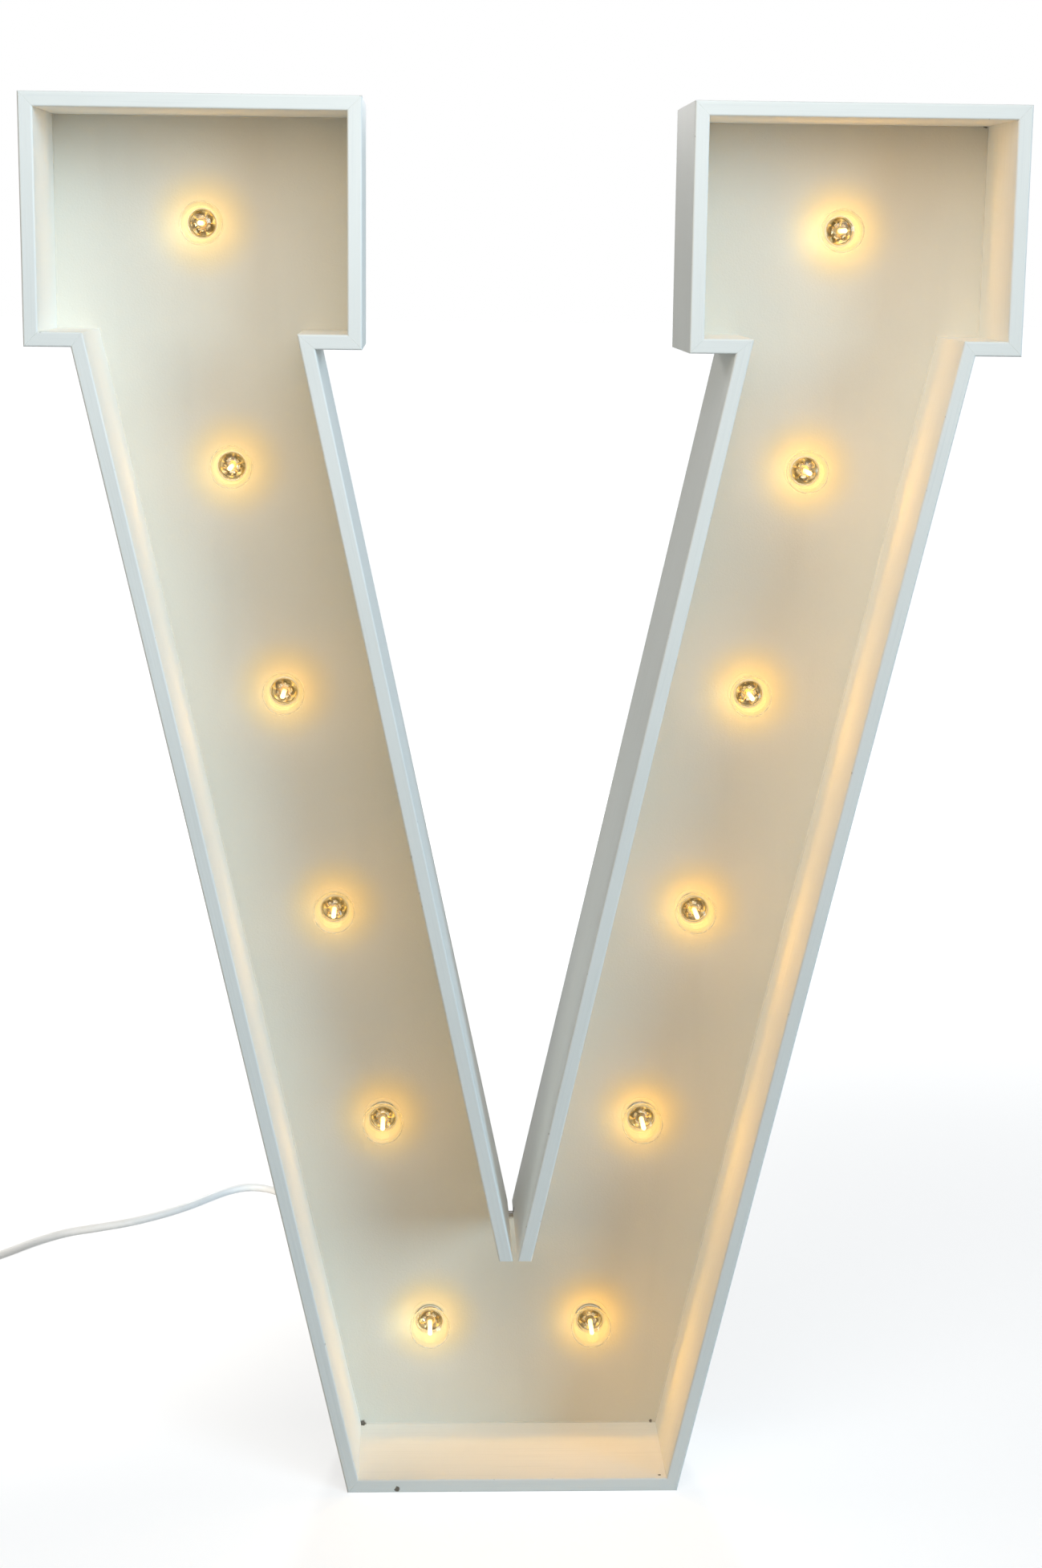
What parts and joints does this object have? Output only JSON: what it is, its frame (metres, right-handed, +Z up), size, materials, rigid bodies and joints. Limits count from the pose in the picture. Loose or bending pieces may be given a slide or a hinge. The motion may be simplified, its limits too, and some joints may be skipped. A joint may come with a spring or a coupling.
{
  "type": "light-up letter",
  "caption": "Free-standing slab-serif letter box of painted boards, with a recessed panel that carries rows of screw-in globe bulbs, wired behind and fed by a mains lead.",
  "frame": {"origin": "middle of the letter's footprint, on the surface that it stands on", "axes": "+Z up, -Y out of the lit front, +X to the right as seen from the front"},
  "size_m": [1.1381, 0.7643, 1.2],
  "materials": {
    "painted_board": "white satin paint, brushed",
    "painted_panel": "white matt paint",
    "clear_glass": "clear",
    "cap_metal": "rolled, bright",
    "filament": "lit, warm white",
    "holder_plastic": "moulded",
    "cable_sheath": "extruded",
    "clip_plastic": "moulded",
    "box_plastic": "moulded",
    "relief_rubber": "moulded, ringed",
    "lead_sheath": "extruded, smooth",
    "plug_plastic": "moulded"
  },
  "bodies": {
    "letter": {"panel": "painted_panel", "bottom_board": "painted_board", "left_inner_leg_board": "painted_board", "left_inner_ledge": "painted_board", "left_inner_cheek": "painted_board", "left_top_board": "painted_board", "left_outer_cheek": "painted_board", "left_outer_ledge": "painted_board", "left_outer_leg_board": "painted_board", "right_inner_leg_board": "painted_board", "right_inner_ledge": "painted_board", "right_inner_cheek": "painted_board", "right_top_board": "painted_board", "right_outer_cheek": "painted_board", "right_outer_ledge": "painted_board", "right_outer_leg_board": "painted_board", "lampholders": "holder_plastic", "harness": "cable_sheath", "harness_clips": "clip_plastic", "junction_box": "box_plastic", "strain_relief": "relief_rubber", "cord": "lead_sheath", "cord_coil": "lead_sheath", "plug": "plug_plastic"},
    "left_stem_1": {"left_filament_1": "filament"},
    "left_bulb_1": {"left_cap_1": "cap_metal", "left_globe_1": "clear_glass"},
    "left_stem_2": {"left_filament_2": "filament"},
    "left_bulb_2": {"left_cap_2": "cap_metal", "left_globe_2": "clear_glass"},
    "left_stem_3": {"left_filament_3": "filament"},
    "left_bulb_3": {"left_cap_3": "cap_metal", "left_globe_3": "clear_glass"},
    "left_stem_4": {"left_filament_4": "filament"},
    "left_bulb_4": {"left_cap_4": "cap_metal", "left_globe_4": "clear_glass"},
    "left_stem_5": {"left_filament_5": "filament"},
    "left_bulb_5": {"left_cap_5": "cap_metal", "left_globe_5": "clear_glass"},
    "left_stem_6": {"left_filament_6": "filament"},
    "left_bulb_6": {"left_cap_6": "cap_metal", "left_globe_6": "clear_glass"},
    "right_stem_1": {"right_filament_1": "filament"},
    "right_bulb_1": {"right_cap_1": "cap_metal", "right_globe_1": "clear_glass"},
    "right_stem_2": {"right_filament_2": "filament"},
    "right_bulb_2": {"right_cap_2": "cap_metal", "right_globe_2": "clear_glass"},
    "right_stem_3": {"right_filament_3": "filament"},
    "right_bulb_3": {"right_cap_3": "cap_metal", "right_globe_3": "clear_glass"},
    "right_stem_4": {"right_filament_4": "filament"},
    "right_bulb_4": {"right_cap_4": "cap_metal", "right_globe_4": "clear_glass"},
    "right_stem_5": {"right_filament_5": "filament"},
    "right_bulb_5": {"right_cap_5": "cap_metal", "right_globe_5": "clear_glass"},
    "right_stem_6": {"right_filament_6": "filament"},
    "right_bulb_6": {"right_cap_6": "cap_metal", "right_globe_6": "clear_glass"}
  },
  "joints": [
    {"name": "left_draw_1", "type": "slide", "parent": "letter", "child": "left_stem_1", "axis": [0, -1, 0], "range_m": [0, 0.01452]},
    {"name": "left_unscrew_1", "type": "hinge", "parent": "left_stem_1", "child": "left_bulb_1", "pos_m": [-0.07369, 0.04, 0.116], "axis": [0, -1, 0], "range_deg": [0, 1440]},
    {"name": "left_draw_2", "type": "slide", "parent": "letter", "child": "left_stem_2", "axis": [0, -1, 0], "range_m": [0, 0.01452]},
    {"name": "left_unscrew_2", "type": "hinge", "parent": "left_stem_2", "child": "left_bulb_2", "pos_m": [-0.11695, 0.04, 0.31127], "axis": [0, -1, 0], "range_deg": [0, 1440]},
    {"name": "left_draw_3", "type": "slide", "parent": "letter", "child": "left_stem_3", "axis": [0, -1, 0], "range_m": [0, 0.01452]},
    {"name": "left_unscrew_3", "type": "hinge", "parent": "left_stem_3", "child": "left_bulb_3", "pos_m": [-0.1602, 0.04, 0.50653], "axis": [0, -1, 0], "range_deg": [0, 1440]},
    {"name": "left_draw_4", "type": "slide", "parent": "letter", "child": "left_stem_4", "axis": [0, -1, 0], "range_m": [0, 0.01452]},
    {"name": "left_unscrew_4", "type": "hinge", "parent": "left_stem_4", "child": "left_bulb_4", "pos_m": [-0.20345, 0.04, 0.7018], "axis": [0, -1, 0], "range_deg": [0, 1440]},
    {"name": "left_draw_5", "type": "slide", "parent": "letter", "child": "left_stem_5", "axis": [0, -1, 0], "range_m": [0, 0.01452]},
    {"name": "left_unscrew_5", "type": "hinge", "parent": "left_stem_5", "child": "left_bulb_5", "pos_m": [-0.2467, 0.04, 0.89707], "axis": [0, -1, 0], "range_deg": [0, 1440]},
    {"name": "left_draw_6", "type": "slide", "parent": "letter", "child": "left_stem_6", "axis": [0, -1, 0], "range_m": [0, 0.01452]},
    {"name": "left_unscrew_6", "type": "hinge", "parent": "left_stem_6", "child": "left_bulb_6", "pos_m": [-0.2695, 0.04, 1.1], "axis": [0, -1, 0], "range_deg": [0, 1440]},
    {"name": "right_draw_1", "type": "slide", "parent": "letter", "child": "right_stem_1", "axis": [0, -1, 0], "range_m": [0, 0.01452]},
    {"name": "right_unscrew_1", "type": "hinge", "parent": "right_stem_1", "child": "right_bulb_1", "pos_m": [0.07369, 0.04, 0.116], "axis": [0, -1, 0], "range_deg": [0, 1440]},
    {"name": "right_draw_2", "type": "slide", "parent": "letter", "child": "right_stem_2", "axis": [0, -1, 0], "range_m": [0, 0.01452]},
    {"name": "right_unscrew_2", "type": "hinge", "parent": "right_stem_2", "child": "right_bulb_2", "pos_m": [0.11695, 0.04, 0.31127], "axis": [0, -1, 0], "range_deg": [0, 1440]},
    {"name": "right_draw_3", "type": "slide", "parent": "letter", "child": "right_stem_3", "axis": [0, -1, 0], "range_m": [0, 0.01452]},
    {"name": "right_unscrew_3", "type": "hinge", "parent": "right_stem_3", "child": "right_bulb_3", "pos_m": [0.1602, 0.04, 0.50653], "axis": [0, -1, 0], "range_deg": [0, 1440]},
    {"name": "right_draw_4", "type": "slide", "parent": "letter", "child": "right_stem_4", "axis": [0, -1, 0], "range_m": [0, 0.01452]},
    {"name": "right_unscrew_4", "type": "hinge", "parent": "right_stem_4", "child": "right_bulb_4", "pos_m": [0.20345, 0.04, 0.7018], "axis": [0, -1, 0], "range_deg": [0, 1440]},
    {"name": "right_draw_5", "type": "slide", "parent": "letter", "child": "right_stem_5", "axis": [0, -1, 0], "range_m": [0, 0.01452]},
    {"name": "right_unscrew_5", "type": "hinge", "parent": "right_stem_5", "child": "right_bulb_5", "pos_m": [0.2467, 0.04, 0.89707], "axis": [0, -1, 0], "range_deg": [0, 1440]},
    {"name": "right_draw_6", "type": "slide", "parent": "letter", "child": "right_stem_6", "axis": [0, -1, 0], "range_m": [0, 0.01452]},
    {"name": "right_unscrew_6", "type": "hinge", "parent": "right_stem_6", "child": "right_bulb_6", "pos_m": [0.2695, 0.04, 1.1], "axis": [0, -1, 0], "range_deg": [0, 1440]}
  ],
  "couplings": [
    {"joint": "left_draw_1", "follows": "left_unscrew_1", "m_per_rad": 0.00057757},
    {"joint": "left_draw_2", "follows": "left_unscrew_2", "m_per_rad": 0.00057757},
    {"joint": "left_draw_3", "follows": "left_unscrew_3", "m_per_rad": 0.00057757},
    {"joint": "left_draw_4", "follows": "left_unscrew_4", "m_per_rad": 0.00057757},
    {"joint": "left_draw_5", "follows": "left_unscrew_5", "m_per_rad": 0.00057757},
    {"joint": "left_draw_6", "follows": "left_unscrew_6", "m_per_rad": 0.00057757},
    {"joint": "right_draw_1", "follows": "right_unscrew_1", "m_per_rad": 0.00057757},
    {"joint": "right_draw_2", "follows": "right_unscrew_2", "m_per_rad": 0.00057757},
    {"joint": "right_draw_3", "follows": "right_unscrew_3", "m_per_rad": 0.00057757},
    {"joint": "right_draw_4", "follows": "right_unscrew_4", "m_per_rad": 0.00057757},
    {"joint": "right_draw_5", "follows": "right_unscrew_5", "m_per_rad": 0.00057757},
    {"joint": "right_draw_6", "follows": "right_unscrew_6", "m_per_rad": 0.00057757}
  ]
}
